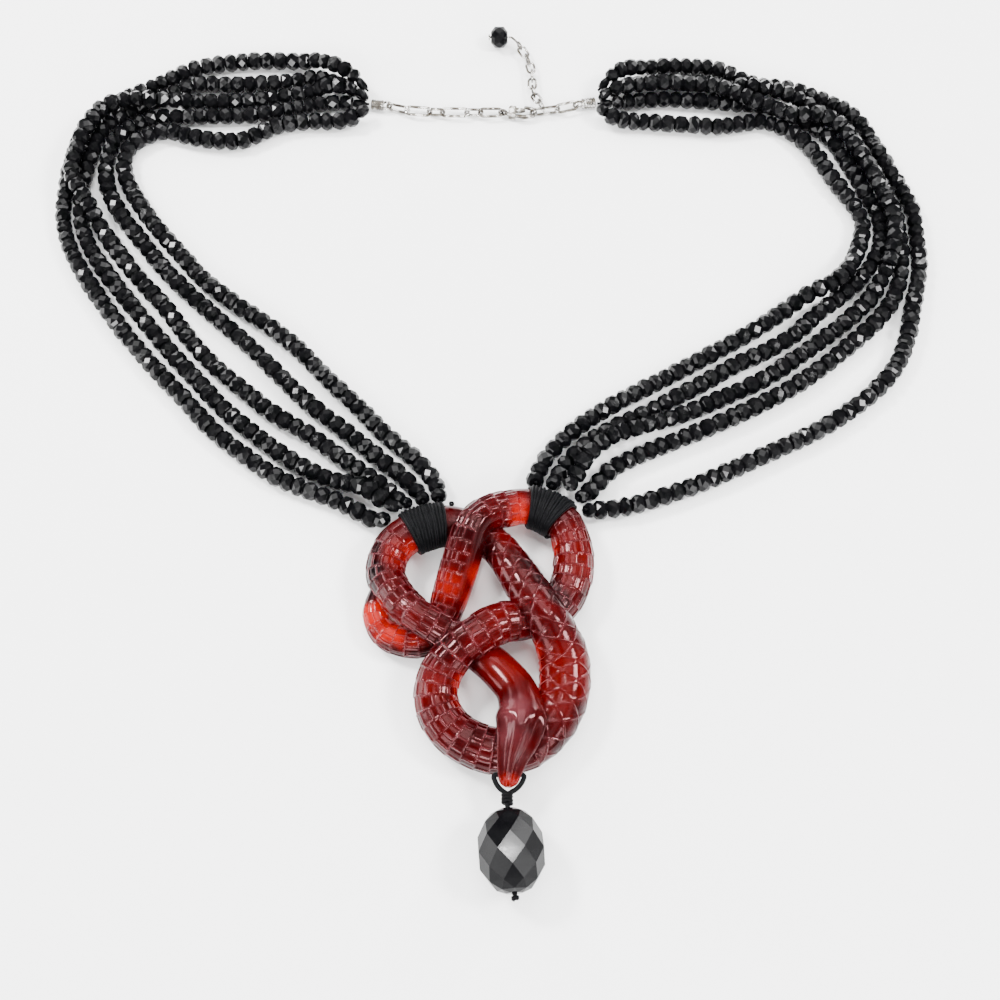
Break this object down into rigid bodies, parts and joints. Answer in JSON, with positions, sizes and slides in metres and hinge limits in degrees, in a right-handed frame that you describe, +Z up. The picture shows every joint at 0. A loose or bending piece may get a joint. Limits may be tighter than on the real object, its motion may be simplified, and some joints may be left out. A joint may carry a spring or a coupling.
{
  "type": "snake pendant necklace",
  "caption": "Beaded necklace lying in a loop: strings of black faceted beads, a knotted red glass snake pendant with a drop, and a silver lobster clasp.",
  "frame": {"origin": "centre of the bounding box on the table, under the open neck loop", "axes": "+X to the right, +Y from the pendant towards the clasp, +Z up from the table"},
  "size_m": [0.219, 0.2261, 0.0143],
  "materials": {
    "glass_red": "gloss",
    "beads": "gloss",
    "thread": "satin",
    "cord": "satin",
    "silver": "polished"
  },
  "bodies": {
    "necklace": {"snake": "glass_red", "strand_left_1": "beads", "strand_left_2": "beads", "strand_left_3": "beads", "strand_left_4": "beads", "strand_left_5": "beads", "strand_right_1": "beads", "strand_right_2": "beads", "strand_right_3": "beads", "strand_right_4": "beads", "strand_right_5": "beads", "wrap_left": "thread", "wrap_right": "thread", "thread_knot": "thread", "drop_cord": "cord", "drop_bead": "beads", "coil_left": "silver", "coil_right": "silver", "link_1": "silver", "link_2": "silver", "link_3": "silver", "link_4": "silver", "link_5": "silver", "link_6": "silver", "clasp_body": "silver", "hook_ring": "silver", "link_right": "silver", "ext_link_1": "silver", "ext_link_2": "silver", "ext_link_3": "silver", "ext_link_4": "silver", "ext_link_5": "silver", "ext_link_6": "silver", "ext_link_7": "silver", "ext_link_8": "silver", "head_pin": "silver", "end_bead": "beads"},
    "lever": {"clasp_lever": "silver"}
  },
  "joints": [
    {"name": "lever_open", "type": "hinge", "parent": "necklace", "child": "lever", "pos_m": [0.0061, 0.08735, 0.0016], "axis": [0, 0, -1], "range_deg": [0, 12], "stiffness_Nm_per_rad": 0.002, "springref_deg": -11.46}
  ]
}
